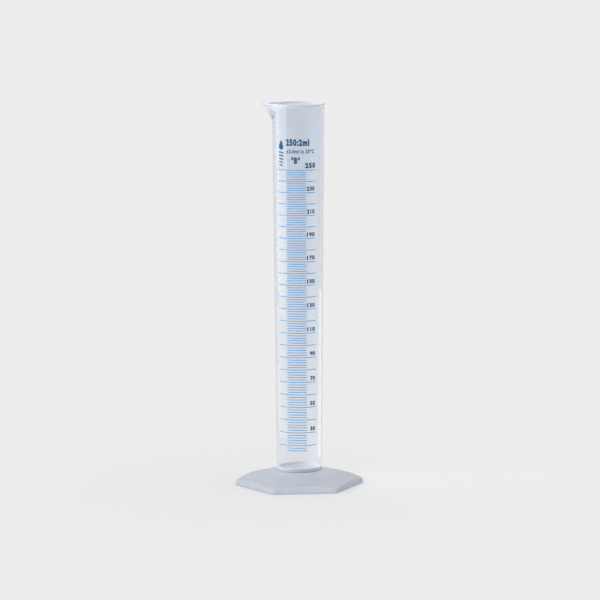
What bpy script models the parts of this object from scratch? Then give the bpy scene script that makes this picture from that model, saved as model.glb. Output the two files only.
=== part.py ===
"""Graduated cylinder, 250 ml, tall form, moulded in translucent polypropylene.

A tapered measuring tube with a pouring spout snaps into a hollow hexagonal foot.
The long lines of the printed scale, one every 10 ml, lie just off the tube wall.

Frame: metres, +Z up along the tube, origin at the centre of the foot's underside.
The scale faces -Y and the spout points to -X.
"""

import math

import bmesh
import bpy

# Overall sizes
OVERALL_HEIGHT = 0.315
FOOT_HEIGHT = 0.0124
SHOULDER_GAP = 0.0003

# Measuring tube: both faces of the wall have their own draft
OUTER_RADIUS_AT_FOOT = 0.0186
OUTER_RADIUS_AT_RIM = 0.0213
INNER_RADIUS_AT_FLOOR = 0.0171
INNER_RADIUS_AT_RIM = 0.0190
FLOOR_HEIGHT = 0.0132
FLOOR_THICKNESS = 0.0020
FLOOR_FILLET = 0.0030
RIM_BEAD_HEIGHT = 0.0022
RIM_BEAD_PROUD = 0.0007
RIM_INNER_CHAMFER = 0.0003

# Pouring spout, which leans out of the wall in a straight line up to the rim
SPOUT_HEIGHT = 0.0145
SPOUT_REACH = 0.0080
SPOUT_WALL = 0.0016
SPOUT_TIP_RADIUS = 0.0026
SPOUT_STEPS = 7

# Spigot under the tube, with the bead that snaps in below the foot's socket
SPIGOT_RADIUS = 0.0172
SPIGOT_BORE_RADIUS = 0.0148
SPIGOT_BOTTOM = 0.0030
SNAP_BEAD_PROUD = 0.0008
SNAP_BEAD_HEIGHT = 0.0016

# Hexagonal foot: a low cone cut by six upright sides
FOOT_ACROSS_FLATS = 0.0920
FOOT_CORNER_RADIUS = 0.0040
FOOT_TURN = math.radians(10.7)
FOOT_SLOPE = math.radians(14.45)
FOOT_EDGE_ROUND = 0.0010
FOOT_WALL = 0.0024
SOCKET_CLEARANCE = 0.0003
SOCKET_WALL = 0.0022
SOCKET_BOTTOM = 0.0060
LAND_WIDTH = 0.0019
RIB_COUNT = 6
RIB_THICKNESS = 0.0015
RIB_BOTTOM = 0.0010

# Printed scale, in millilitres and metres
FIRST_LINE_ML = 20
LAST_LINE_ML = 250
LINE_STEP_ML = 10
CUBIC_METRES_PER_ML = 1e-6
LINE_LENGTH = 0.0340
LINE_WIDTH = 0.0005
LINE_CLEARANCE = 0.0003
LINE_THICKNESS = 0.0003
LINE_STEPS = 12

# Mesh resolution
HALF_TURN_STEPS = 32
SPOUT_CROWDING = 1.3
FILLET_STEPS = 3
BEAD_STEPS = 4
HEXAGON_CORNER_STEPS = 2
HEXAGON_SIDE_STEPS = 4
SMOOTH_ANGLE = math.radians(35)

SPOUT_DIRECTION = math.pi
SCALE_DIRECTION = -math.pi / 2


def clear_scene():
    """Remove whatever the scene holds."""
    for old in list(bpy.data.objects):
        bpy.data.objects.remove(old, do_unlink=True)


def plastic(name, colour, roughness, alpha=1.0):
    """Return a Principled material for one moulding or for the ink."""
    material = bpy.data.materials.new(name)
    material.use_nodes = True
    shader = material.node_tree.nodes["Principled BSDF"]
    shader.inputs["Base Color"].default_value = (*colour, 1.0)
    shader.inputs["Roughness"].default_value = roughness
    shader.inputs["Metallic"].default_value = 0.0
    shader.inputs["Alpha"].default_value = alpha
    return material


def finish_object(name, mesh_data, material):
    """Turn an edited mesh into a smooth-shaded object of the scene."""
    bmesh.ops.recalc_face_normals(mesh_data, faces=mesh_data.faces)
    mesh = bpy.data.meshes.new(name)
    mesh_data.to_mesh(mesh)
    mesh_data.free()
    mesh.materials.append(material)
    mesh.shade_smooth()
    mesh.set_sharp_from_angle(angle=SMOOTH_ANGLE)
    result = bpy.data.objects.new(name, mesh)
    bpy.context.scene.collection.objects.link(result)
    return result


def add_ring(mesh_data, points):
    """Add one ring of vertices."""
    return [mesh_data.verts.new(point) for point in points]


def bridge(mesh_data, ring, next_ring):
    """Fill the band between two rings that have the same number of vertices."""
    count = len(ring)
    for i in range(count):
        j = (i + 1) % count
        mesh_data.faces.new((ring[i], ring[j], next_ring[j], next_ring[i]))


def arc(centre, radius, start, end, steps):
    """Points of a circular arc in a section, given as (radius, height) pairs."""
    points = []
    for i in range(steps + 1):
        angle = math.radians(start + (end - start) * i / steps)
        points.append((centre[0] + radius * math.cos(angle), centre[1] + radius * math.sin(angle)))
    return points


def draft_radius(height, low, high, radius_low, radius_high):
    """Radius of a drafted wall at a height."""
    return radius_low + (radius_high - radius_low) * (height - low) / (high - low)


def outer_radius(height):
    """Radius of the tube's outer face, away from the rim and the spout."""
    return draft_radius(height, FOOT_HEIGHT, OVERALL_HEIGHT, OUTER_RADIUS_AT_FOOT, OUTER_RADIUS_AT_RIM)


def inner_radius(height):
    """Radius of the tube's bore."""
    return draft_radius(height, FLOOR_HEIGHT, OVERALL_HEIGHT, INNER_RADIUS_AT_FLOOR, INNER_RADIUS_AT_RIM)


def fill_height(millilitres):
    """Height of the liquid surface when the tube holds a volume.

    The bore is a frustum, less the ring that the rounded floor corner takes away.
    """
    slope = (INNER_RADIUS_AT_RIM - INNER_RADIUS_AT_FLOOR) / (OVERALL_HEIGHT - FLOOR_HEIGHT)
    corner_area = (1 - math.pi / 4) * FLOOR_FILLET**2
    corner_centroid = INNER_RADIUS_AT_FLOOR - 0.2234 * FLOOR_FILLET
    volume = millilitres * CUBIC_METRES_PER_ML + 2 * math.pi * corner_centroid * corner_area
    cube = 3 * slope * volume / math.pi + INNER_RADIUS_AT_FLOOR**3
    return FLOOR_HEIGHT + (cube ** (1 / 3) - INNER_RADIUS_AT_FLOOR) / slope


def spout_reach(height):
    """Distance from the axis to the outside of the spout's straight front edge."""
    start = OVERALL_HEIGHT - SPOUT_HEIGHT
    tip = outer_radius(OVERALL_HEIGHT) + SPOUT_REACH
    return draft_radius(height, start, OVERALL_HEIGHT, outer_radius(start), tip)


def spout_outline(angle, radius, reach, tip_radius):
    """Radius of the round tube joined by two tangents to the spout's small tip circle."""
    tip_centre = reach - tip_radius
    if tip_centre <= radius - tip_radius:
        return radius
    tangent = math.acos((radius - tip_radius) / tip_centre)
    if abs(angle) >= tangent:
        return radius
    tip_edge = math.atan2(tip_radius * math.sin(tangent), tip_centre + tip_radius * math.cos(tangent))
    if abs(angle) > tip_edge:
        return radius / math.cos(tangent - abs(angle))
    across = tip_centre * math.sin(angle)
    return tip_centre * math.cos(angle) + math.sqrt(tip_radius**2 - across**2)


def tube_angles():
    """Angles round the tube from the spout, crowded towards its tip."""
    half = [math.pi * (i / HALF_TURN_STEPS) ** SPOUT_CROWDING for i in range(HALF_TURN_STEPS + 1)]
    return half + [-angle for angle in reversed(half[1:-1])]


def tube_ring(radius, height, reach=0.0, tip_radius=0.0):
    """One horizontal outline of the tube."""
    points = []
    for angle in tube_angles():
        distance = spout_outline(angle, radius, reach, tip_radius)
        direction = SPOUT_DIRECTION + angle
        points.append((distance * math.cos(direction), distance * math.sin(direction), height))
    return points


def spout_heights(top):
    """Levels of the outlines from just under the spout up to the rim."""
    start = OVERALL_HEIGHT - SPOUT_HEIGHT - SPOUT_WALL
    return [start + (top - start) * i / SPOUT_STEPS for i in range(SPOUT_STEPS + 1)]


def tube_rings():
    """Outlines from the middle of the floor, up the bore, over the rim and down to the spigot."""
    rings = []
    corner = inner_radius(FLOOR_HEIGHT + FLOOR_FILLET) - FLOOR_FILLET
    for radius, height in arc((corner, FLOOR_HEIGHT + FLOOR_FILLET), FLOOR_FILLET, -90, 0, FILLET_STEPS):
        rings.append(tube_ring(radius, height))

    inner_tip = SPOUT_TIP_RADIUS - SPOUT_WALL
    for height in spout_heights(OVERALL_HEIGHT - RIM_INNER_CHAMFER):
        rings.append(tube_ring(inner_radius(height), height, spout_reach(height) - SPOUT_WALL, inner_tip))

    reach = spout_reach(OVERALL_HEIGHT)
    rings.append(tube_ring(inner_radius(OVERALL_HEIGHT) + RIM_INNER_CHAMFER, OVERALL_HEIGHT,
                           reach - SPOUT_WALL + RIM_INNER_CHAMFER, inner_tip + RIM_INNER_CHAMFER))

    bead_middle = OVERALL_HEIGHT - RIM_BEAD_HEIGHT / 2
    for i in range(BEAD_STEPS + 1):
        angle = math.pi / 2 - math.pi * i / BEAD_STEPS
        height = bead_middle + RIM_BEAD_HEIGHT / 2 * math.sin(angle)
        proud = RIM_BEAD_PROUD * math.cos(angle)
        rings.append(tube_ring(outer_radius(height) + proud, height,
                               spout_reach(height) + proud, SPOUT_TIP_RADIUS + proud))

    for height in reversed(spout_heights(OVERALL_HEIGHT - RIM_BEAD_HEIGHT)[:-1]):
        rings.append(tube_ring(outer_radius(height), height, spout_reach(height), SPOUT_TIP_RADIUS))

    shoulder = FOOT_HEIGHT + SHOULDER_GAP
    rings.append(tube_ring(outer_radius(shoulder), shoulder))
    rings.append(tube_ring(SPIGOT_RADIUS, shoulder))

    bead_top = SOCKET_BOTTOM - SOCKET_CLEARANCE
    bead_bottom = bead_top - SNAP_BEAD_HEIGHT
    rings.append(tube_ring(SPIGOT_RADIUS, bead_top))
    rings.append(tube_ring(SPIGOT_RADIUS + SNAP_BEAD_PROUD, bead_top - SNAP_BEAD_HEIGHT / 4))
    rings.append(tube_ring(SPIGOT_RADIUS, bead_bottom))
    rings.append(tube_ring(SPIGOT_RADIUS, SPIGOT_BOTTOM))
    rings.append(tube_ring(SPIGOT_BORE_RADIUS, SPIGOT_BOTTOM))
    rings.append(tube_ring(SPIGOT_BORE_RADIUS, FLOOR_HEIGHT - FLOOR_THICKNESS))
    return rings


def make_tube(material):
    """Measuring tube with its floor, rim bead, spout, shoulder and snap-in spigot."""
    mesh_data = bmesh.new()
    rings = [add_ring(mesh_data, points) for points in tube_rings()]
    for ring, next_ring in zip(rings, rings[1:]):
        bridge(mesh_data, ring, next_ring)
    mesh_data.faces.new(rings[0])
    mesh_data.faces.new(rings[-1])
    return finish_object("measuring_tube", mesh_data, material)


def hexagon_radius(angle, apothem, corner_radius):
    """Distance to a round-cornered hexagon's edge, at an angle measured from a corner."""
    half_side = math.pi / 6
    centre = (apothem - corner_radius) / math.cos(half_side)
    tangent = math.atan2(corner_radius * math.sin(half_side), centre + corner_radius * math.cos(half_side))
    if abs(angle) >= tangent:
        return apothem / math.cos(half_side - abs(angle))
    across = centre * math.sin(angle)
    return centre * math.cos(angle) + math.sqrt(corner_radius**2 - across**2)


def hexagon_angles():
    """Angles round the foot as (direction, angle from the nearest corner) pairs."""
    half_side = math.pi / 6
    apothem = FOOT_ACROSS_FLATS / 2
    centre = (apothem - FOOT_CORNER_RADIUS) / math.cos(half_side)
    tangent = math.atan2(FOOT_CORNER_RADIUS * math.sin(half_side),
                         centre + FOOT_CORNER_RADIUS * math.cos(half_side))
    half = [tangent * i / HEXAGON_CORNER_STEPS for i in range(HEXAGON_CORNER_STEPS)]
    half += [tangent + (half_side - tangent) * i / HEXAGON_SIDE_STEPS for i in range(HEXAGON_SIDE_STEPS + 1)]
    sixth = [-angle for angle in reversed(half[1:-1])] + half
    return [(math.pi / 3 * side + angle, angle) for side in range(6) for angle in sixth]


def hexagon_ring(apothem, height):
    """One horizontal outline of the foot, whose corners keep the same centres."""
    corner_radius = FOOT_CORNER_RADIUS - (FOOT_ACROSS_FLATS / 2 - apothem)
    points = []
    for direction, angle in hexagon_angles():
        distance = hexagon_radius(angle, apothem, corner_radius)
        points.append((distance * math.cos(direction), distance * math.sin(direction), height))
    return points


def cone_height(radius):
    """Height of the foot's conical top at a distance from the axis."""
    land = SPIGOT_RADIUS + SOCKET_CLEARANCE + LAND_WIDTH
    return FOOT_HEIGHT - (radius - land) * math.tan(FOOT_SLOPE)


def cone_ring(apothem, lift):
    """A hexagonal outline whose height follows the cone, lifted off it by a distance."""
    return [(x, y, cone_height(math.hypot(x, y)) + lift) for x, y, _ in hexagon_ring(apothem, 0.0)]


def round_ring(radius, height):
    """A circle with its vertices at the hexagon's angles."""
    return [(radius * math.cos(direction), radius * math.sin(direction), height)
            for direction, angle in hexagon_angles()]


def foot_rings():
    """Outlines from the top of the socket, over the foot and back along its hollow underside."""
    apothem = FOOT_ACROSS_FLATS / 2
    socket = SPIGOT_RADIUS + SOCKET_CLEARANCE
    edge = FOOT_EDGE_ROUND
    rings = [round_ring(socket, FOOT_HEIGHT), round_ring(socket + LAND_WIDTH, FOOT_HEIGHT)]
    for radius, height in arc((apothem - edge, -edge), edge, 75, 0, 3):
        rings.append(cone_ring(radius, height + (radius - apothem + edge) * math.tan(FOOT_SLOPE)))
    rings.append(hexagon_ring(apothem, edge / 2))
    rings.append(hexagon_ring(apothem - edge / 2, 0.0))
    rings.append(hexagon_ring(apothem - FOOT_WALL, 0.0))
    rings.append(cone_ring(apothem - FOOT_WALL - edge / 2, -FOOT_WALL))
    rings.append(round_ring(socket + SOCKET_WALL, cone_height(socket + SOCKET_WALL) - FOOT_WALL))
    rings.append(round_ring(socket + SOCKET_WALL, SOCKET_BOTTOM))
    rings.append(round_ring(socket, SOCKET_BOTTOM))
    return rings


def make_ribs():
    """Plates from the socket to each corner of the foot, as one guide mesh for the union."""
    mesh_data = bmesh.new()
    apothem = FOOT_ACROSS_FLATS / 2
    start = SPIGOT_RADIUS + SOCKET_CLEARANCE + SOCKET_WALL / 2
    for i in range(RIB_COUNT):
        direction = 2 * math.pi * i / RIB_COUNT
        from_corner = (direction + math.pi / 6) % (math.pi / 3) - math.pi / 6
        end = hexagon_radius(from_corner, apothem - FOOT_WALL / 2, FOOT_CORNER_RADIUS - FOOT_WALL / 2)
        section = [(start, RIB_BOTTOM), (end, RIB_BOTTOM),
                   (end, cone_height(end) - FOOT_WALL / 2), (start, cone_height(start) - FOOT_WALL / 2)]
        sides = []
        for offset in (-RIB_THICKNESS / 2, RIB_THICKNESS / 2):
            points = []
            for radius, height in section:
                x = radius * math.cos(direction) - offset * math.sin(direction)
                y = radius * math.sin(direction) + offset * math.cos(direction)
                points.append((x, y, height))
            sides.append(add_ring(mesh_data, points))
        bridge(mesh_data, sides[0], sides[1])
        mesh_data.faces.new(sides[0])
        mesh_data.faces.new(sides[1])
    return mesh_data


def make_foot(material):
    """Hollow hexagonal foot with the tube's socket and its stiffening ribs."""
    mesh_data = bmesh.new()
    rings = [add_ring(mesh_data, points) for points in foot_rings()]
    for ring, next_ring in zip(rings, rings[1:] + rings[:1]):
        bridge(mesh_data, ring, next_ring)
    foot = finish_object("hex_foot", mesh_data, material)

    ribs = finish_object("rib_guide", make_ribs(), material)
    ribs.hide_render = True
    ribs.display_type = "WIRE"
    ribs.parent = foot
    union = foot.modifiers.new("ribs", "BOOLEAN")
    union.operation = "UNION"
    union.solver = "EXACT"
    union.object = ribs

    foot.rotation_euler.z = FOOT_TURN
    return foot


def make_line(millilitres, tube, material):
    """One long printed line of the scale, which wraps part of the way round the tube."""
    height = fill_height(millilitres)
    inside = outer_radius(height) + LINE_CLEARANCE
    outside = inside + LINE_THICKNESS
    half_angle = LINE_LENGTH / 2 / inside
    mesh_data = bmesh.new()
    sections = []
    for i in range(LINE_STEPS + 1):
        direction = SCALE_DIRECTION + half_angle * (2 * i / LINE_STEPS - 1)
        corners = [(inside, -1), (outside, -1), (outside, 1), (inside, 1)]
        points = [(radius * math.cos(direction), radius * math.sin(direction), side * LINE_WIDTH / 2)
                  for radius, side in corners]
        sections.append(add_ring(mesh_data, points))
    for section, next_section in zip(sections, sections[1:]):
        bridge(mesh_data, section, next_section)
    mesh_data.faces.new(sections[0])
    mesh_data.faces.new(sections[-1])
    line = finish_object(f"graduation_{millilitres:03d}_ml", mesh_data, material)
    line.location.z = height
    line.parent = tube
    return line


def main():
    """Build the assembly."""
    clear_scene()
    tube_plastic = plastic("clear_polypropylene", (0.80, 0.84, 0.90), 0.30, alpha=0.6)
    foot_plastic = plastic("milky_polypropylene", (0.74, 0.78, 0.86), 0.35)
    ink = plastic("blue_printing_ink", (0.05, 0.22, 0.50), 0.55)

    tube = make_tube(tube_plastic)
    make_foot(foot_plastic)
    for millilitres in range(FIRST_LINE_ML, LAST_LINE_ML + 1, LINE_STEP_ML):
        make_line(millilitres, tube, ink)


main()
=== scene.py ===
"""Looks of a 250 ml graduated cylinder in translucent polypropylene with blue print.

The fine tube, foot and ink stand for the plain solids of the frame. Lengths are in metres.
"""

import math

import bmesh
import bpy
from mathutils import Euler, Matrix, Vector


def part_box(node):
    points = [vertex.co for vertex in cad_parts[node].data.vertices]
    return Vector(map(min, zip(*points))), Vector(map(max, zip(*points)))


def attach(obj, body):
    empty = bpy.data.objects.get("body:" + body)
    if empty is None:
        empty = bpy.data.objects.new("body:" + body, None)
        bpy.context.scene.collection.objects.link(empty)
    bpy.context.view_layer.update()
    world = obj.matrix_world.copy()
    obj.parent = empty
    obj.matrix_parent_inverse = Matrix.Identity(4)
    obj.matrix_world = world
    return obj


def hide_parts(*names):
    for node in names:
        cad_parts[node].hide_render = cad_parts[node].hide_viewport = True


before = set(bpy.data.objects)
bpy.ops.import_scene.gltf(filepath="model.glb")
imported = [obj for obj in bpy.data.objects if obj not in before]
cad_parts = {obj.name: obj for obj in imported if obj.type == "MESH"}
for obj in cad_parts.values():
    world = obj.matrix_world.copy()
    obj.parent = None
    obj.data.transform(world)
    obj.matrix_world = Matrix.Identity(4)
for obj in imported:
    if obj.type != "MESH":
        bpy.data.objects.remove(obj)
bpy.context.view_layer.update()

# The frame's own sizes
TUBE_LOW, TUBE_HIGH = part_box("measuring_tube")
HEIGHT = TUBE_HIGH[2]
FOOT_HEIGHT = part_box("hex_foot")[1][2]

# Tube
BEAD_HEIGHT = 0.0022
BEAD_PROUD = 0.0007
RIM_INNER_ROUND = 0.0005
OUTER_RADIUS_AT_FOOT = 0.0186
OUTER_RADIUS_AT_RIM = TUBE_HIGH[0] - BEAD_PROUD
INNER_RADIUS_AT_FLOOR = 0.0171
INNER_RADIUS_AT_RIM = 0.0190
FLOOR_HEIGHT = 0.0132
FLOOR_THICKNESS = 0.0020
FLOOR_FILLET = 0.0030
SHOULDER_GAP = 0.00005
SHOULDER_ROUND = 0.0004
SPIGOT_RADIUS = 0.0172
SPIGOT_BORE_RADIUS = 0.0148
SPIGOT_BOTTOM = TUBE_LOW[2]
SNAP_BEAD_TOP = 0.0057
SNAP_BEAD_HEIGHT = 0.0016
SNAP_BEAD_PROUD = 0.0008

# Pouring spout
SPOUT_DIRECTION = math.pi
SPOUT_HEIGHT = 0.0145
SPOUT_REACH = -TUBE_LOW[0] - TUBE_HIGH[0]
SPOUT_WALL = 0.0016
SPOUT_TIP_RADIUS = 0.0026
SPOUT_ROOT_RADIUS = 0.0060
SPOUT_BLEND = 0.22
SPOUT_LEAST_BORE_RADIUS = 0.001

# Hexagonal foot
FOOT_ACROSS_FLATS = 0.0920
FOOT_CORNER_RADIUS = 0.0040
FOOT_TURN = math.radians(10.7)
FOOT_SLOPE = math.radians(14.45)
FOOT_EDGE_ROUND = 0.0010
FOOT_WALL = 0.0024
SOCKET_RADIUS = 0.0175
SOCKET_WALL = 0.0022
SOCKET_BOTTOM = 0.0060
LAND_WIDTH = 0.0019
LAND_STEP = 0.0003
RIB_COUNT = 6
RIB_THICKNESS = 0.0015
RIB_BOTTOM = 0.0010

# Print
SCALE_DIRECTION = -math.pi / 2
INK_GAP = 0.000004
INK_THICKNESS = 0.00003
LINE_WIDTH = 0.0005
LONG_LINE_LENGTH = 0.0340
SHORT_LINE_LENGTH = 0.0165
FIRST_SHORT_LINE_ML = 16
SHORT_LINE_STEP_ML = 2
PRINT_STEP = 0.0005

# Text, from the scale's centre line and its top line: left, right, low, high, and weight of the strokes
TOP_NUMERAL = (0.0076, 0.0169, 0.0016, 0.0060, 0.056)
NUMERAL_LEFT = {2: 0.0113, 3: 0.0089}
NUMERAL_RIGHT = 0.0161
NUMERAL_LOW = 0.0014
NUMERAL_HIGH = 0.0050
NUMERAL_WEIGHT = 0.054
CAPTION = {
    "caption_capacity": ("250:2ml", -0.0084, 0.0112, 0.0197, 0.0254, 0.060),
    "caption_tolerance": ("±2.0ml In 20°C", -0.0080, 0.0158, 0.0137, 0.0170, 0.028),
    "caption_class": ("\"B\"", -0.0037, 0.0032, 0.0052, 0.0107, 0.062),
}

# Mark beside the caption
MARK_CENTRE = -0.0133
DROP_TIP = 0.0248
DROP_MIDDLE = 0.0188
DROP_RADIUS = 0.0024
RIPPLE_COUNT = 5
RIPPLE_TOP = 0.0142
RIPPLE_SPACING = 0.0026
RIPPLE_HALF_LENGTH = 0.0026
RIPPLE_TAPER = 0.0002
RIPPLE_RISE = 0.0004
RIPPLE_HALF_WIDTH = 0.0005

# Mesh resolution
TUBE_HALF_STEPS = 112
SPOUT_CROWDING = 1.25
FLOOR_SHARES = (0.15, 0.55)
FILLET_STEPS = 12
WALL_STEPS = 8
SPOUT_STEPS = 20
RIM_ROUND_STEPS = 6
BEAD_STEPS = 16
SHOULDER_STEPS = 4
SNAP_STEPS = 8
SIDE_STEPS = 14
CORNER_STEPS = 8
TOP_STEPS = 10
EDGE_STEPS = 8
BOTTOM_EDGE_STEPS = 5
UNDERSIDE_STEPS = 8
DROP_STEPS = 20
RIPPLE_STEPS = 12

LIT_TUBE = bpy.data.collections.new("lit_tube")
LIT_FOOT = bpy.data.collections.new("lit_foot")
LINE_NODES = sorted(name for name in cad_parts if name.startswith("graduation_"))


def line_height(millilitres):
    """Height of a volume, between or just below the heights of the frame's own lines."""
    known = [(int(name.split("_")[1]), (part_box(name)[0][2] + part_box(name)[1][2]) / 2) for name in LINE_NODES]
    low, high = known[0], known[1]
    for lower, upper in zip(known, known[1:]):
        if lower[0] <= millilitres:
            low, high = lower, upper
    share = (millilitres - low[0]) / (high[0] - low[0])
    return low[1] + (high[1] - low[1]) * share


def between(value, low, high, at_low, at_high):
    """Straight-line value between two known ones."""
    return at_low + (at_high - at_low) * (value - low) / (high - low)


def outer_radius(height):
    """Radius of the tube's outer face."""
    return between(height, FOOT_HEIGHT, HEIGHT, OUTER_RADIUS_AT_FOOT, OUTER_RADIUS_AT_RIM)


def inner_radius(height):
    """Radius of the tube's bore."""
    return between(height, FLOOR_HEIGHT, HEIGHT, INNER_RADIUS_AT_FLOOR, INNER_RADIUS_AT_RIM)


# ---------------------------------------------------------------- meshes

def finish_piece(name, mesh_data, material, slot, *nodes, smooth_angle=math.radians(35)):
    """Make a piece that rides on the only body and stands for nodes of the frame."""
    bmesh.ops.recalc_face_normals(mesh_data, faces=mesh_data.faces)
    mesh = bpy.data.meshes.new(name)
    mesh_data.to_mesh(mesh)
    mesh_data.free()
    mesh.materials.append(material)
    mesh.shade_smooth()
    mesh.set_sharp_from_angle(angle=smooth_angle)
    piece = bpy.data.objects.new(name, mesh)
    bpy.context.scene.collection.objects.link(piece)
    lit = LIT_FOOT if slot == "milky_polypropylene" else LIT_TUBE
    lit.objects.link(piece)
    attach(piece, "root")
    if nodes:
        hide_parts(*nodes)
    return piece


def loft(rings, closed=False):
    """Mesh of the bands between rings of points, capped at both ends unless it closes on itself."""
    mesh_data = bmesh.new()
    made = [[mesh_data.verts.new(point) for point in ring] for ring in rings]
    following = made[1:] + made[:1] if closed else made[1:]
    for ring, next_ring in zip(made, following):
        for i in range(len(ring)):
            j = (i + 1) % len(ring)
            mesh_data.faces.new((ring[i], ring[j], next_ring[j], next_ring[i]))
    if not closed:
        mesh_data.faces.new(made[0])
        mesh_data.faces.new(made[-1])
    return mesh_data


def arc(centre, radius, start, end, steps):
    """Points of a circular arc in a section, as (radius, height) pairs. Angles are in degrees."""
    angles = [math.radians(between(i, 0, steps, start, end)) for i in range(steps + 1)]
    return [(centre[0] + radius * math.cos(a), centre[1] + radius * math.sin(a)) for a in angles]


# ---------------------------------------------------------------- tube

def spout_share(height):
    """How far the spout has leaned out at a height, with a soft start: 0 below it, 1 at the rim."""
    t = between(height, HEIGHT - SPOUT_HEIGHT, HEIGHT, 0, 1)
    if t <= -SPOUT_BLEND:
        return 0.0
    if t < SPOUT_BLEND:
        return (t + SPOUT_BLEND) ** 2 / (4 * SPOUT_BLEND)
    return t


def spout_tip_radius(height):
    """Radius of the spout's tip circle, wide at its root and narrow at the rim."""
    return between(min(spout_share(height), 1), 0, 1, SPOUT_ROOT_RADIUS, SPOUT_TIP_RADIUS)


def spout_outline(angle, radius, reach, tip_radius):
    """Radius of the round tube joined by two tangents to the spout's tip circle."""
    tip_centre = reach - tip_radius
    if tip_centre <= radius - tip_radius:
        return radius
    tangent = math.acos((radius - tip_radius) / tip_centre)
    if abs(angle) >= tangent:
        return radius
    tip_edge = math.atan2(tip_radius * math.sin(tangent), tip_centre + tip_radius * math.cos(tangent))
    if abs(angle) > tip_edge:
        return radius / math.cos(tangent - abs(angle))
    across = tip_centre * math.sin(angle)
    return tip_centre * math.cos(angle) + math.sqrt(max(tip_radius**2 - across**2, 0))


def tube_angles():
    """Angles round the tube from the spout, crowded towards its tip."""
    half = [math.pi * (i / TUBE_HALF_STEPS) ** SPOUT_CROWDING for i in range(TUBE_HALF_STEPS + 1)]
    return half + [-angle for angle in reversed(half[1:-1])]


def tube_ring(radius, height, extra=0.0, tip_radius=0.0):
    """One outline of the tube. Extra is how far the spout's tip stands out from the round wall."""
    points = []
    for angle in tube_angles():
        distance = radius
        if extra > 0:
            distance = spout_outline(angle, radius, radius + extra, tip_radius)
        direction = SPOUT_DIRECTION + angle
        points.append((distance * math.cos(direction), distance * math.sin(direction), height))
    return points


def spout_heights(low, high):
    """Levels of the rings that shape the spout, without the highest, which belongs to the rim."""
    return [between(i, 0, SPOUT_STEPS, low, high) for i in range(SPOUT_STEPS)]


def bore_ring(height, wider=0.0):
    """Outline of the bore and the inside of the spout."""
    reach = SPOUT_REACH * spout_share(height)
    thickness = outer_radius(height) - inner_radius(height)
    extra = max(reach + (thickness - SPOUT_WALL) * min(spout_share(height) * 3, 1), 0)
    tip = max(spout_tip_radius(height) - SPOUT_WALL, SPOUT_LEAST_BORE_RADIUS) + wider
    return tube_ring(inner_radius(height) + wider, height, extra, tip)


def wall_ring(height, proud=0.0):
    """Outline of the outer wall and the outside of the spout."""
    extra = SPOUT_REACH * spout_share(height)
    return tube_ring(outer_radius(height) + proud, height, extra, spout_tip_radius(height) + proud)


def rim_rings():
    """Outlines over the rim, from its rounded inner edge round the bead and back to the wall."""
    rings = []
    for step in range(RIM_ROUND_STEPS + 1):
        angle = math.pi / 2 * step / RIM_ROUND_STEPS
        wider = RIM_INNER_ROUND * (1 - math.cos(angle))
        rings.append(bore_ring(HEIGHT - RIM_INNER_ROUND * (1 - math.sin(angle)), wider))
    middle = HEIGHT - BEAD_HEIGHT / 2
    for step in range(BEAD_STEPS + 1):
        angle = math.pi / 2 - math.pi * step / BEAD_STEPS
        rings.append(wall_ring(middle + BEAD_HEIGHT / 2 * math.sin(angle), BEAD_PROUD * math.cos(angle)))
    return rings


def tube_rings():
    """Outlines from the middle of the floor, up the bore, over the rim and down to the spigot."""
    spout_low = HEIGHT - SPOUT_HEIGHT * (1 + SPOUT_BLEND)
    fillet_top = FLOOR_HEIGHT + FLOOR_FILLET
    corner = inner_radius(fillet_top) - FLOOR_FILLET
    rings = [tube_ring(corner * share, FLOOR_HEIGHT) for share in FLOOR_SHARES]
    fillet = arc((corner, fillet_top), FLOOR_FILLET, -90, 0, FILLET_STEPS)
    rings += [tube_ring(r, z) for r, z in fillet]
    rings += [bore_ring(between(i, 0, WALL_STEPS, fillet_top, spout_low)) for i in range(1, WALL_STEPS)]
    rings += [bore_ring(z) for z in spout_heights(spout_low, HEIGHT - RIM_INNER_ROUND)]
    rings += rim_rings()
    rings += [wall_ring(z) for z in reversed(spout_heights(spout_low, HEIGHT - BEAD_HEIGHT))]
    shoulder = FOOT_HEIGHT + SHOULDER_GAP
    top = shoulder + SHOULDER_ROUND
    rings += [wall_ring(between(i, 0, WALL_STEPS, spout_low, top)) for i in range(1, WALL_STEPS + 1)]
    rounding = arc((outer_radius(shoulder) - SHOULDER_ROUND, top), SHOULDER_ROUND, -15, -90, SHOULDER_STEPS)
    rings += [tube_ring(r, z) for r, z in rounding]
    rings.append(tube_ring(SPIGOT_RADIUS, shoulder))
    bead_bottom = SNAP_BEAD_TOP - SNAP_BEAD_HEIGHT
    rings.append(tube_ring(SPIGOT_RADIUS, SNAP_BEAD_TOP))
    for step in range(1, SNAP_STEPS):
        share = step / SNAP_STEPS
        proud = SNAP_BEAD_PROUD * math.sin(math.pi * share)
        rings.append(tube_ring(SPIGOT_RADIUS + proud, between(share, 0, 1, SNAP_BEAD_TOP, bead_bottom)))
    rings.append(tube_ring(SPIGOT_RADIUS, bead_bottom))
    rings.append(tube_ring(SPIGOT_RADIUS, SPIGOT_BOTTOM))
    rings.append(tube_ring(SPIGOT_BORE_RADIUS, SPIGOT_BOTTOM))
    rings.append(tube_ring(SPIGOT_BORE_RADIUS, FLOOR_HEIGHT - FLOOR_THICKNESS))
    return rings


def make_tube(material):
    """Fine measuring tube, which casts no shadow on the foot."""
    tube = finish_piece("tube_shell", loft(tube_rings()), material, "clear_polypropylene", "measuring_tube")
    tube.visible_shadow = False


# ---------------------------------------------------------------- foot

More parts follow.
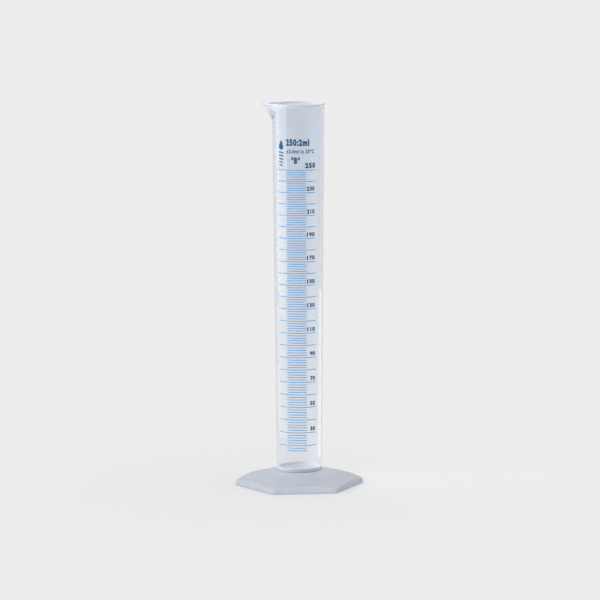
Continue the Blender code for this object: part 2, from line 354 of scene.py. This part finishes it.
def hexagon_radius(angle, apothem, corner_radius):
    """Distance to a round-cornered hexagon's edge, at an angle measured from a corner."""
    half_side = math.pi / 6
    centre = (apothem - corner_radius) / math.cos(half_side)
    tangent = math.atan2(corner_radius * math.sin(half_side), centre + corner_radius * math.cos(half_side))
    if abs(angle) >= tangent:
        return apothem / math.cos(half_side - abs(angle))
    across = centre * math.sin(angle)
    return centre * math.cos(angle) + math.sqrt(corner_radius**2 - across**2)


def foot_directions():
    """Angles round the foot as (direction, angle from the nearest corner) pairs."""
    half_side = math.pi / 6
    centre = (FOOT_ACROSS_FLATS / 2 - FOOT_CORNER_RADIUS) / math.cos(half_side)
    tangent = math.atan2(FOOT_CORNER_RADIUS * math.sin(half_side),
                         centre + FOOT_CORNER_RADIUS * math.cos(half_side))
    half = [tangent * i / CORNER_STEPS for i in range(CORNER_STEPS)]
    half += [between(i, 0, SIDE_STEPS, tangent, half_side) for i in range(SIDE_STEPS + 1)]
    sixth = [-angle for angle in reversed(half[1:-1])] + half
    return [(FOOT_TURN + math.pi / 3 * side + angle, angle) for side in range(6) for angle in sixth]


def cone_height(radius):
    """Height of the foot's conical top at a distance from the axis."""
    return FOOT_HEIGHT - (radius - SOCKET_RADIUS - LAND_WIDTH) * math.tan(FOOT_SLOPE)


def round_ring(radius, height):
    """A circle with its vertices at the hexagon's angles."""
    return [(radius * math.cos(direction), radius * math.sin(direction), height)
            for direction, angle in foot_directions()]


def hexagon_ring(apothem, height, radius=0.0, share=0.0):
    """A hexagonal outline of the foot, blended with a share of a circle."""
    corner = FOOT_CORNER_RADIUS - (FOOT_ACROSS_FLATS / 2 - apothem)
    points = []
    for direction, angle in foot_directions():
        distance = hexagon_radius(angle, apothem, corner) * (1 - share) + radius * share
        points.append((distance * math.cos(direction), distance * math.sin(direction), height))
    return points


def cone_ring(apothem, lift, radius=0.0, share=0.0):
    """The same outline, whose height follows the cone, lifted off it by a distance."""
    return [(x, y, cone_height(math.hypot(x, y)) + lift)
            for x, y, _ in hexagon_ring(apothem, 0.0, radius, share)]


def foot_rings():
    """Outlines from the top of the socket, over the foot and back along its hollow underside."""
    apothem = FOOT_ACROSS_FLATS / 2
    land = SOCKET_RADIUS + LAND_WIDTH
    edge = FOOT_EDGE_ROUND
    under = SOCKET_RADIUS + SOCKET_WALL
    rings = [round_ring(SOCKET_RADIUS, FOOT_HEIGHT), round_ring(land - LAND_STEP, FOOT_HEIGHT)]
    for step in range(TOP_STEPS + 1):
        rings.append(cone_ring(apothem - edge, 0.0, land, 1 - step / TOP_STEPS))
    for radius, height in arc((apothem - edge, -edge), edge, 72, 0, EDGE_STEPS):
        rings.append(cone_ring(radius, height + (radius - apothem + edge) * math.tan(FOOT_SLOPE)))
    for radius, height in arc((apothem - edge / 2, edge / 2), edge / 2, 0, -90, BOTTOM_EDGE_STEPS):
        rings.append(hexagon_ring(radius, height))
    rings.append(hexagon_ring(apothem - FOOT_WALL, 0.0))
    for step in range(UNDERSIDE_STEPS + 1):
        rings.append(cone_ring(apothem - FOOT_WALL - edge / 2, -FOOT_WALL, under, step / UNDERSIDE_STEPS))
    rings.append(round_ring(under, SOCKET_BOTTOM))
    rings.append(round_ring(SOCKET_RADIUS, SOCKET_BOTTOM))
    return rings


def make_ribs():
    """Plates from the socket to each corner of the foot, which are joined to the shell."""
    mesh_data = bmesh.new()
    start = SOCKET_RADIUS + SOCKET_WALL / 2
    end = hexagon_radius(0, FOOT_ACROSS_FLATS / 2 - FOOT_WALL / 2, FOOT_CORNER_RADIUS - FOOT_WALL / 2)
    section = [(start, RIB_BOTTOM), (end, RIB_BOTTOM),
               (end, cone_height(end) - FOOT_WALL / 2), (start, cone_height(start) - FOOT_WALL / 2)]
    for i in range(RIB_COUNT):
        turn = Matrix.Rotation(FOOT_TURN + 2 * math.pi * i / RIB_COUNT, 3, "Z")
        sides = []
        for y in (-RIB_THICKNESS / 2, RIB_THICKNESS / 2):
            sides.append([mesh_data.verts.new(turn @ Vector((x, y, z))) for x, z in section])
        for k in range(4):
            j = (k + 1) % 4
            mesh_data.faces.new((sides[0][k], sides[0][j], sides[1][j], sides[1][k]))
        mesh_data.faces.new(sides[0])
        mesh_data.faces.new(sides[1])
    bmesh.ops.recalc_face_normals(mesh_data, faces=mesh_data.faces)
    mesh = bpy.data.meshes.new("rib_guide")
    mesh_data.to_mesh(mesh)
    mesh_data.free()
    ribs = bpy.data.objects.new("rib_guide", mesh)
    bpy.context.scene.collection.objects.link(ribs)
    return ribs


def make_foot(material):
    """Fine hexagonal foot, with its ribs joined on and applied."""
    shell = loft(foot_rings(), closed=True)
    foot = finish_piece("foot_shell", shell, material, "milky_polypropylene", "hex_foot")
    ribs = make_ribs()
    union = foot.modifiers.new("ribs", "BOOLEAN")
    union.operation = "UNION"
    union.solver = "EXACT"
    union.object = ribs
    bpy.context.view_layer.update()
    joined = bpy.data.meshes.new_from_object(foot.evaluated_get(bpy.context.evaluated_depsgraph_get()))
    foot.modifiers.clear()
    foot.data = joined
    bpy.data.objects.remove(ribs)
    joined.shade_smooth()
    joined.set_sharp_from_angle(angle=math.radians(35))
    return foot


# ---------------------------------------------------------------- print

def wrap(mesh_data, base):
    """Bend flat print round the tube: x is along the arc, y is up from the base height, z is off the wall."""
    for vert in mesh_data.verts:
        x, y, z = vert.co
        height = base + y
        radius = outer_radius(height) + INK_GAP + z
        direction = SCALE_DIRECTION + x / outer_radius(height)
        vert.co = (radius * math.cos(direction), radius * math.sin(direction), height)


def slice_upright(mesh_data):
    """Cut flat print into narrow upright strips, so that it can bend."""
    xs = [vert.co.x for vert in mesh_data.verts]
    x = min(xs) + PRINT_STEP
    while x < max(xs):
        geometry = mesh_data.verts[:] + mesh_data.edges[:] + mesh_data.faces[:]
        bmesh.ops.bisect_plane(mesh_data, geom=geometry, plane_co=(x, 0, 0), plane_no=(1, 0, 0))
        x += PRINT_STEP


def add_bar(mesh_data, left, right, low, high):
    """Flat rectangle of ink, cut into steps along its length."""
    steps = max(1, round((right - left) / PRINT_STEP))
    sections = []
    for i in range(steps + 1):
        x = between(i, 0, steps, left, right)
        corners = ((x, low, 0), (x, low, INK_THICKNESS), (x, high, INK_THICKNESS), (x, high, 0))
        sections.append([mesh_data.verts.new(corner) for corner in corners])
    for section, next_section in zip(sections, sections[1:]):
        for i in range(4):
            j = (i + 1) % 4
            mesh_data.faces.new((section[i], section[j], next_section[j], next_section[i]))
    mesh_data.faces.new(sections[0])
    mesh_data.faces.new(sections[-1])


def add_outline(mesh_data, points):
    """Flat closed shape of ink from its outline."""
    low = [mesh_data.verts.new((x, y, 0)) for x, y in points]
    high = [mesh_data.verts.new((x, y, INK_THICKNESS)) for x, y in points]
    for i in range(len(points)):
        j = (i + 1) % len(points)
        mesh_data.faces.new((low[i], low[j], high[j], high[i]))
    mesh_data.faces.new(low)
    mesh_data.faces.new(high)


def finish_print(name, mesh_data, base, material, *nodes):
    """Wrap flat print and make it a piece."""
    wrap(mesh_data, base)
    return finish_piece(name, mesh_data, material, "blue_printing_ink", *nodes, smooth_angle=math.radians(40))


def make_lines(name, millilitres, length, material, *nodes):
    """One or several lines of the scale, with one length."""
    base = line_height(millilitres[0])
    mesh_data = bmesh.new()
    for volume in millilitres:
        middle = line_height(volume) - base
        add_bar(mesh_data, -length / 2, length / 2, middle - LINE_WIDTH / 2, middle + LINE_WIDTH / 2)
    return finish_print(name, mesh_data, base, material, *nodes)


def make_text(name, words, left, right, low, high, weight, material):
    """Printed words that fill a rectangle on the wall, measured from the scale's centre line."""
    curve = bpy.data.curves.new(name, "FONT")
    curve.body = words
    curve.size = 1.0
    curve.offset = weight
    curve.space_character = 1.0 + 3 * weight
    curve.extrude = 0.5
    curve.resolution_u = 4
    holder = bpy.data.objects.new(name, curve)
    bpy.context.scene.collection.objects.link(holder)
    bpy.context.view_layer.update()
    flat = bpy.data.meshes.new_from_object(holder.evaluated_get(bpy.context.evaluated_depsgraph_get()))
    bpy.data.objects.remove(holder)
    bpy.data.curves.remove(curve)
    mesh_data = bmesh.new()
    mesh_data.from_mesh(flat)
    bpy.data.meshes.remove(flat)
    bmesh.ops.remove_doubles(mesh_data, verts=mesh_data.verts, dist=1e-5)
    xs = [vert.co.x for vert in mesh_data.verts]
    ys = [vert.co.y for vert in mesh_data.verts]
    for vert in mesh_data.verts:
        vert.co.x = between(vert.co.x, min(xs), max(xs), left, right)
        vert.co.y = between(vert.co.y, min(ys), max(ys), 0, high - low)
        vert.co.z = (vert.co.z + 0.5) * INK_THICKNESS
    slice_upright(mesh_data)
    return finish_print(name, mesh_data, line_height(250) + low, material)


def make_scale(line_material, text_material):
    """Long lines, short lines and numerals."""
    for node in LINE_NODES:
        millilitres = int(node.split("_")[1])
        make_lines(f"long_line_{millilitres:03d}_ml", [millilitres], LONG_LINE_LENGTH, line_material, node)
    top = int(LINE_NODES[-1].split("_")[1])
    for decade in range(10, top, 10):
        first = max(decade + SHORT_LINE_STEP_ML, FIRST_SHORT_LINE_ML)
        volumes = list(range(first, decade + 10, SHORT_LINE_STEP_ML))
        make_lines(f"short_lines_{decade:03d}_ml", volumes, SHORT_LINE_LENGTH, line_material)
    for millilitres in range(30, top, 20):
        above = line_height(millilitres) - line_height(250)
        words = str(millilitres)
        make_text(f"numeral_{millilitres:03d}", words, NUMERAL_LEFT[len(words)], NUMERAL_RIGHT,
                  above + NUMERAL_LOW, above + NUMERAL_HIGH, NUMERAL_WEIGHT, text_material)
    make_text("numeral_250", "250", *TOP_NUMERAL, text_material)


def make_caption(material):
    """Capacity, tolerance and accuracy class above the scale."""
    for name, (words, *place) in CAPTION.items():
        make_text(name, words, *place, material)


def make_mark(material):
    """Plain mark beside the caption: a drop over a few ripples."""
    mesh_data = bmesh.new()
    drop = [(MARK_CENTRE, DROP_TIP)]
    for step in range(DROP_STEPS + 1):
        angle = math.radians(between(step, 0, DROP_STEPS, 25, -205))
        across = MARK_CENTRE + DROP_RADIUS * math.cos(angle)
        drop.append((across, DROP_MIDDLE + DROP_RADIUS * math.sin(angle)))
    add_outline(mesh_data, drop)
    for row in range(RIPPLE_COUNT):
        half = RIPPLE_HALF_LENGTH - RIPPLE_TAPER * row
        middle = RIPPLE_TOP - RIPPLE_SPACING * row
        wave = []
        for side in (1, -1):
            for step in range(RIPPLE_STEPS + 1):
                share = step / RIPPLE_STEPS if side == 1 else 1 - step / RIPPLE_STEPS
                height = middle + RIPPLE_RISE * math.sin(2 * math.pi * share) + side * RIPPLE_HALF_WIDTH
                wave.append((MARK_CENTRE + between(share, 0, 1, -half, half), height))
        add_outline(mesh_data, wave)
    slice_upright(mesh_data)
    return finish_print("drop_mark", mesh_data, line_height(250), material)


# ---------------------------------------------------------------- materials

PLASTIC_IOR = 1.49
GRAIN_SCALE = 900
CLOUD_SCALE = 60
CLOUD_STRETCH = (1, 1, 0.25)
FINE_DETAIL = 4
CLOUD_DETAIL = 3
WHITE = (1, 1, 1)

# Clear plastic of the tube
# Painted shade: the wall's colour darkens from the foot up to the rim.
WALL_LOW = (0.930, 0.945, 0.965)
WALL_PAINTED_SHADE_AT_RIM = (0.800, 0.840, 0.900)
WALL_CLOUD = (0.970, 0.970, 0.976)
WALL_TRANSMISSION = 0.98
WALL_ROUGHNESS = 0.10
WALL_GRAIN = 0.005
WALL_GRAIN_DEPTH = 0.00001

# Its zones of painted shade and milkiness, with heights from the bead's underside
# Painted shade: a darker band round the middle of the rim's bead
RIM_PAINTED_SHADE = (0.74, 0.79, 0.84)
RIM_PAINTED_SHADE_START = (0.0003, 0.0009)
RIM_PAINTED_SHADE_END = (0.0019, 0.0012)
RIM_MILKINESS = 0.35
RIM_MILKY_START = (-0.0003, 0.0003)
SPOUT_MILKINESS = 0.25
SPOUT_MILKY_WIDTH = 0.0030
# Painted shade on the milky floor, darker at the base where the tube stands in the foot
FLOOR_PAINTED_SHADE = (0.60, 0.62, 0.66)
BASE_PAINTED_SHADE = (0.46, 0.48, 0.54)
BASE_SKIN = 0.0003
FLOOR_TRANSMISSION = 0.05
FLOOR_MILKY_DEPTH = 0.0006

# Milkier plastic of the foot
FOOT_LOW_COLOUR = (0.443, 0.475, 0.536)
FOOT_HIGH_COLOUR = (0.481, 0.514, 0.578)
# Painted light: the foot is paler round the socket, where light through the tube falls, and darker outwards.
FOOT_PAINTED_OUTER_SHADE = (0.90, 0.90, 0.90)
FOOT_PAINTED_LIGHT_WIDTH = 0.0140
FOOT_TRANSMISSION = 0.05
FOOT_ROUGHNESS = 0.45
FOOT_GLOSS = 0.25
FOOT_GRAIN = 0.10
FOOT_GRAIN_DEPTH = 0.00003

# Ink, paler in the thin lines than in the text
LINE_INK = ((0.001, 0.232, 0.580), (0.002, 0.275, 0.660))
TEXT_INK = ((0.001, 0.066, 0.160), (0.001, 0.090, 0.210))
INK_ROUGHNESS = 0.5
INK_GLOSS = 0.15
INK_COVER_SCALE = 1400
INK_GRAIN = 0.2
INK_GRAIN_DEPTH = 0.00001


def new_material(name):
    """Material with its Principled shader and the means to add nodes."""
    material = bpy.data.materials.new(name)
    material.use_nodes = True
    tree = material.node_tree
    return material, tree, tree.nodes["Principled BSDF"]


def add_noise(tree, scale, detail, stretch=(1, 1, 1)):
    """Noise in the object's own coordinates, which can be stretched along an axis."""
    place = tree.nodes.new("ShaderNodeTexCoord")
    mapping = tree.nodes.new("ShaderNodeMapping")
    mapping.inputs["Scale"].default_value = stretch
    noise = tree.nodes.new("ShaderNodeTexNoise")
    noise.inputs["Scale"].default_value = scale
    noise.inputs["Detail"].default_value = detail
    tree.links.new(place.outputs["Object"], mapping.inputs["Vector"])
    tree.links.new(mapping.outputs["Vector"], noise.inputs["Vector"])
    return noise.outputs["Fac"]


def add_ramp(tree, factor, low, high, start=0.3, end=0.7):
    """Colours that follow a factor."""
    ramp = tree.nodes.new("ShaderNodeValToRGB")
    ramp.color_ramp.elements[0].position = start
    ramp.color_ramp.elements[0].color = (*low, 1)
    ramp.color_ramp.elements[1].position = end
    ramp.color_ramp.elements[1].color = (*high, 1)
    tree.links.new(factor, ramp.inputs["Fac"])
    return ramp.outputs["Color"]


def add_bump(tree, shader, height, strength, distance):
    """Fine relief from a height."""
    bump = tree.nodes.new("ShaderNodeBump")
    bump.inputs["Strength"].default_value = strength
    bump.inputs["Distance"].default_value = distance
    tree.links.new(height, bump.inputs["Height"])
    tree.links.new(bump.outputs["Normal"], shader.inputs["Normal"])


def add_height(tree, low, high):
    """Share of the way up between two heights of the frame, 0 below them and 1 above."""
    place = tree.nodes.new("ShaderNodeTexCoord")
    parts = tree.nodes.new("ShaderNodeSeparateXYZ")
    share = tree.nodes.new("ShaderNodeMapRange")
    share.inputs["From Min"].default_value = low
    share.inputs["From Max"].default_value = high
    tree.links.new(place.outputs["Object"], parts.inputs["Vector"])
    tree.links.new(parts.outputs["Z"], share.inputs["Value"])
    return share.outputs["Result"]


def add_distance(tree, near, far):
    """Share of the way out between two distances from the object's axis, 0 nearer and 1 farther."""
    place = tree.nodes.new("ShaderNodeTexCoord")
    flat = tree.nodes.new("ShaderNodeVectorMath")
    flat.operation = "MULTIPLY"
    flat.inputs[1].default_value = (1, 1, 0)
    distance = tree.nodes.new("ShaderNodeVectorMath")
    distance.operation = "LENGTH"
    share = tree.nodes.new("ShaderNodeMapRange")
    share.inputs["From Min"].default_value = near
    share.inputs["From Max"].default_value = far
    tree.links.new(place.outputs["Object"], flat.inputs[0])
    tree.links.new(flat.outputs["Vector"], distance.inputs[0])
    tree.links.new(distance.outputs["Value"], share.inputs["Value"])
    return share.outputs["Result"]


def multiply(tree, first, second):
    """Product of two colours."""
    mix = tree.nodes.new("ShaderNodeMix")
    mix.data_type = "RGBA"
    mix.blend_type = "MULTIPLY"
    mix.inputs["Factor"].default_value = 1.0
    tree.links.new(first, mix.inputs["A"])
    tree.links.new(second, mix.inputs["B"])
    return mix.outputs["Result"]


def add_cloud(tree, low, high):
    """Faint clouds in the plastic, which run along the flow of the moulding."""
    return add_ramp(tree, add_noise(tree, CLOUD_SCALE, CLOUD_DETAIL, CLOUD_STRETCH), low, high)


def calculate(tree, operation, first, second):
    """Result of arithmetic on two values."""
    node = tree.nodes.new("ShaderNodeMath")
    node.operation = operation
    for value, socket in zip((first, second), node.inputs):
        if isinstance(value, (int, float)):
            socket.default_value = value
        else:
            tree.links.new(value, socket)
    return node.outputs["Value"]


def rim_tint(tree):
    """Painted shade: a darker band round the middle of the rim's bead."""
    bead = HEIGHT - BEAD_HEIGHT
    start = add_height(tree, bead + RIM_PAINTED_SHADE_START[0], bead + RIM_PAINTED_SHADE_START[1])
    end = add_height(tree, bead + RIM_PAINTED_SHADE_END[0], bead + RIM_PAINTED_SHADE_END[1])
    return add_ramp(tree, calculate(tree, "MINIMUM", start, end), WHITE, RIM_PAINTED_SHADE, 0.0, 1.0)


def floor_tint(tree, clear):
    """Colour of the milky floor, a painted shade, which is darker on the outside, where the tube stands in the
    foot.
    """
    mix = tree.nodes.new("ShaderNodeMix")
    mix.data_type = "RGBA"
    outwards = add_distance(tree, INNER_RADIUS_AT_FLOOR, OUTER_RADIUS_AT_FOOT - BASE_SKIN)
    tree.links.new(outwards, mix.inputs["Factor"])
    tree.links.new(add_ramp(tree, clear, FLOOR_PAINTED_SHADE, WHITE, 0.0, 1.0), mix.inputs["A"])
    tree.links.new(add_ramp(tree, clear, BASE_PAINTED_SHADE, WHITE, 0.0, 1.0), mix.inputs["B"])
    return mix.outputs["Result"]


def wall_transmission(tree, clear):
    """Light let through: least at the milky floor, and less at the rim and the spout than in the wall."""
    bead = HEIGHT - BEAD_HEIGHT
    rim = add_height(tree, bead + RIM_MILKY_START[0], bead + RIM_MILKY_START[1])
    beyond = OUTER_RADIUS_AT_RIM + BEAD_PROUD
    spout = add_distance(tree, beyond, beyond + SPOUT_MILKY_WIDTH)
    milky = calculate(tree, "MAXIMUM", calculate(tree, "MULTIPLY", rim, RIM_MILKINESS),
                      calculate(tree, "MULTIPLY", spout, SPOUT_MILKINESS))
    share = tree.nodes.new("ShaderNodeMapRange")
    share.inputs["To Min"].default_value = FLOOR_TRANSMISSION
    share.inputs["To Max"].default_value = WALL_TRANSMISSION
    clearness = calculate(tree, "MULTIPLY", clear, calculate(tree, "SUBTRACT", 1.0, milky))
    tree.links.new(clearness, share.inputs["Value"])
    return share.outputs["Result"]


def clear_polypropylene(name):
    """Clear moulded plastic with painted shade: darker upwards, in a band round the rim's bead, and on its floor
    and base. Milky at its floor, and partly so at rim and spout.
    """
    material, tree, shader = new_material(name)
    # Painted shade that darkens the wall from the foot up to the rim
    wall = add_ramp(tree, add_height(tree, 0, HEIGHT), WALL_LOW, WALL_PAINTED_SHADE_AT_RIM, 0.05, 0.95)
    clear = add_height(tree, FLOOR_HEIGHT + FLOOR_MILKY_DEPTH, FLOOR_HEIGHT + FLOOR_FILLET)
    upper = multiply(tree, wall, rim_tint(tree))
    lower = multiply(tree, floor_tint(tree, clear), add_cloud(tree, WALL_CLOUD, WHITE))
    colour = multiply(tree, upper, lower)
    tree.links.new(colour, shader.inputs["Base Color"])
    tree.links.new(wall_transmission(tree, clear), shader.inputs["Transmission Weight"])
    shader.inputs["Roughness"].default_value = WALL_ROUGHNESS
    shader.inputs["IOR"].default_value = PLASTIC_IOR
    add_bump(tree, shader, add_noise(tree, GRAIN_SCALE, FINE_DETAIL), WALL_GRAIN, WALL_GRAIN_DEPTH)
    return material


def milky_polypropylene(name):
    """Milkier moulded plastic with a satin gloss, with painted light that makes it a little paler round the
    socket.
    """
    material, tree, shader = new_material(name)
    socket = SOCKET_RADIUS + SOCKET_WALL
    outwards = add_distance(tree, socket, socket + FOOT_PAINTED_LIGHT_WIDTH)
    socket_painted_light = add_ramp(tree, outwards, WHITE, FOOT_PAINTED_OUTER_SHADE, 0.0, 1.0)
    colour = multiply(tree, add_cloud(tree, FOOT_LOW_COLOUR, FOOT_HIGH_COLOUR), socket_painted_light)
    tree.links.new(colour, shader.inputs["Base Color"])
    shader.inputs["Roughness"].default_value = FOOT_ROUGHNESS
    shader.inputs["IOR"].default_value = PLASTIC_IOR
    shader.inputs["Transmission Weight"].default_value = FOOT_TRANSMISSION
    shader.inputs["Specular IOR Level"].default_value = FOOT_GLOSS
    add_bump(tree, shader, add_noise(tree, GRAIN_SCALE, FINE_DETAIL), FOOT_GRAIN, FOOT_GRAIN_DEPTH)
    return material


def printing_ink(name, low, high):
    """Blue screen-printing ink, a little uneven in its cover."""
    material, tree, shader = new_material(name)
    cover = add_noise(tree, INK_COVER_SCALE, FINE_DETAIL)
    tree.links.new(add_ramp(tree, cover, low, high), shader.inputs["Base Color"])
    shader.inputs["Roughness"].default_value = INK_ROUGHNESS
    shader.inputs["Specular IOR Level"].default_value = INK_GLOSS
    add_bump(tree, shader, cover, INK_GRAIN, INK_GRAIN_DEPTH)
    return material


# ---------------------------------------------------------------- studio

FLOOR_SIZE = 60.0
FLOOR_COLOUR = (0.87, 0.87, 0.87)
WORLD_COLOUR = (0.97, 0.97, 0.97)
CAMERA_PLACE = (0.2902, -2.8795, 0.5576)
CAMERA_DIP = math.radians(7.957)
CAMERA_TURN = math.radians(5.736)
CAMERA_ROLL = math.radians(-0.19)
CAMERA_LENS = 213.67


def make_floor():
    """Plain pale floor."""
    mesh_data = bmesh.new()
    bmesh.ops.create_grid(mesh_data, x_segments=1, y_segments=1, size=FLOOR_SIZE / 2)
    mesh = bpy.data.meshes.new("studio_floor")
    mesh_data.to_mesh(mesh)
    mesh_data.free()
    material, tree, shader = new_material("studio_floor")
    shader.inputs["Base Color"].default_value = (*FLOOR_COLOUR, 1)
    shader.inputs["Roughness"].default_value = 1.0
    shader.inputs["Specular IOR Level"].default_value = 0.0
    mesh.materials.append(material)
    floor = bpy.data.objects.new("studio_floor", mesh)
    bpy.context.scene.collection.objects.link(floor)


def make_world():
    """Even pale surroundings."""
    world = bpy.data.worlds.new("studio")
    world.use_nodes = True
    background = world.node_tree.nodes["Background"]
    background.inputs["Color"].default_value = (*WORLD_COLOUR, 1)
    background.inputs["Strength"].default_value = 1.0
    bpy.context.scene.world = world


def add_softbox(name, place, target, size, power, receivers):
    """Rectangular soft light that faces a point, lights only its receivers and shows only in reflections."""
    light = bpy.data.lights.new(name, "AREA")
    light.shape = "RECTANGLE"
    light.size, light.size_y = size
    light.energy = power
    lamp = bpy.data.objects.new(name, light)
    lamp.location = place
    lamp.rotation_euler = (Vector(target) - Vector(place)).to_track_quat("-Z", "Y").to_euler()
    lamp.visible_camera = False
    lamp.visible_transmission = False
    lamp.light_linking.receiver_collection = receivers
    bpy.context.scene.collection.objects.link(lamp)


def make_lights():
    """Softbox and low reflector on the left, low strip on the right, and the foot's own two lights."""
    add_softbox("left_softbox", (-0.82, -0.16, 0.45), (0, 0, 0.30), (1.10, 0.90), 9.0, LIT_TUBE)
    add_softbox("left_reflector", (-0.195, -0.038, 0.06), (0, 0, 0.06), (0.26, 0.12), 0.11, LIT_TUBE)
    add_softbox("right_strip", (0.088, 0.047, 0.075), (0, 0, 0.075), (0.05, 0.15), 0.030, LIT_TUBE)
    add_softbox("foot_fill", (-0.86, -1.12, 0.50), (0, 0, 0.01), (0.80, 0.50), 14.0, LIT_FOOT)
    add_softbox("foot_side", (1.20, -0.55, 0.06), (0, 0, 0.01), (0.60, 0.40), 2.3, LIT_FOOT)


def make_camera():
    """Long lens, a little above the rim and to the right of the scale."""
    camera = bpy.data.objects.new("camera", bpy.data.cameras.new("camera"))
    camera.data.sensor_width = 36
    camera.data.lens = CAMERA_LENS
    camera.data.clip_end = 200
    camera.location = CAMERA_PLACE
    look = Euler((math.radians(90) - CAMERA_DIP, 0, CAMERA_TURN), "XYZ").to_matrix()
    camera.rotation_euler = (look @ Matrix.Rotation(CAMERA_ROLL, 3, "Z")).to_euler()
    bpy.context.scene.collection.objects.link(camera)
    bpy.context.scene.camera = camera


bpy.context.scene.view_settings.view_transform = "Standard"
make_camera()
make_world()
make_lights()
make_floor()

clear_plastic = clear_polypropylene("clear_polypropylene")
milky_plastic = milky_polypropylene("milky_polypropylene")
line_ink = printing_ink("blue_ink_lines", *LINE_INK)
text_ink = printing_ink("blue_ink_text", *TEXT_INK)

make_tube(clear_plastic)
make_foot(milky_plastic)
make_scale(line_ink, text_ink)
make_caption(text_ink)
make_mark(text_ink)
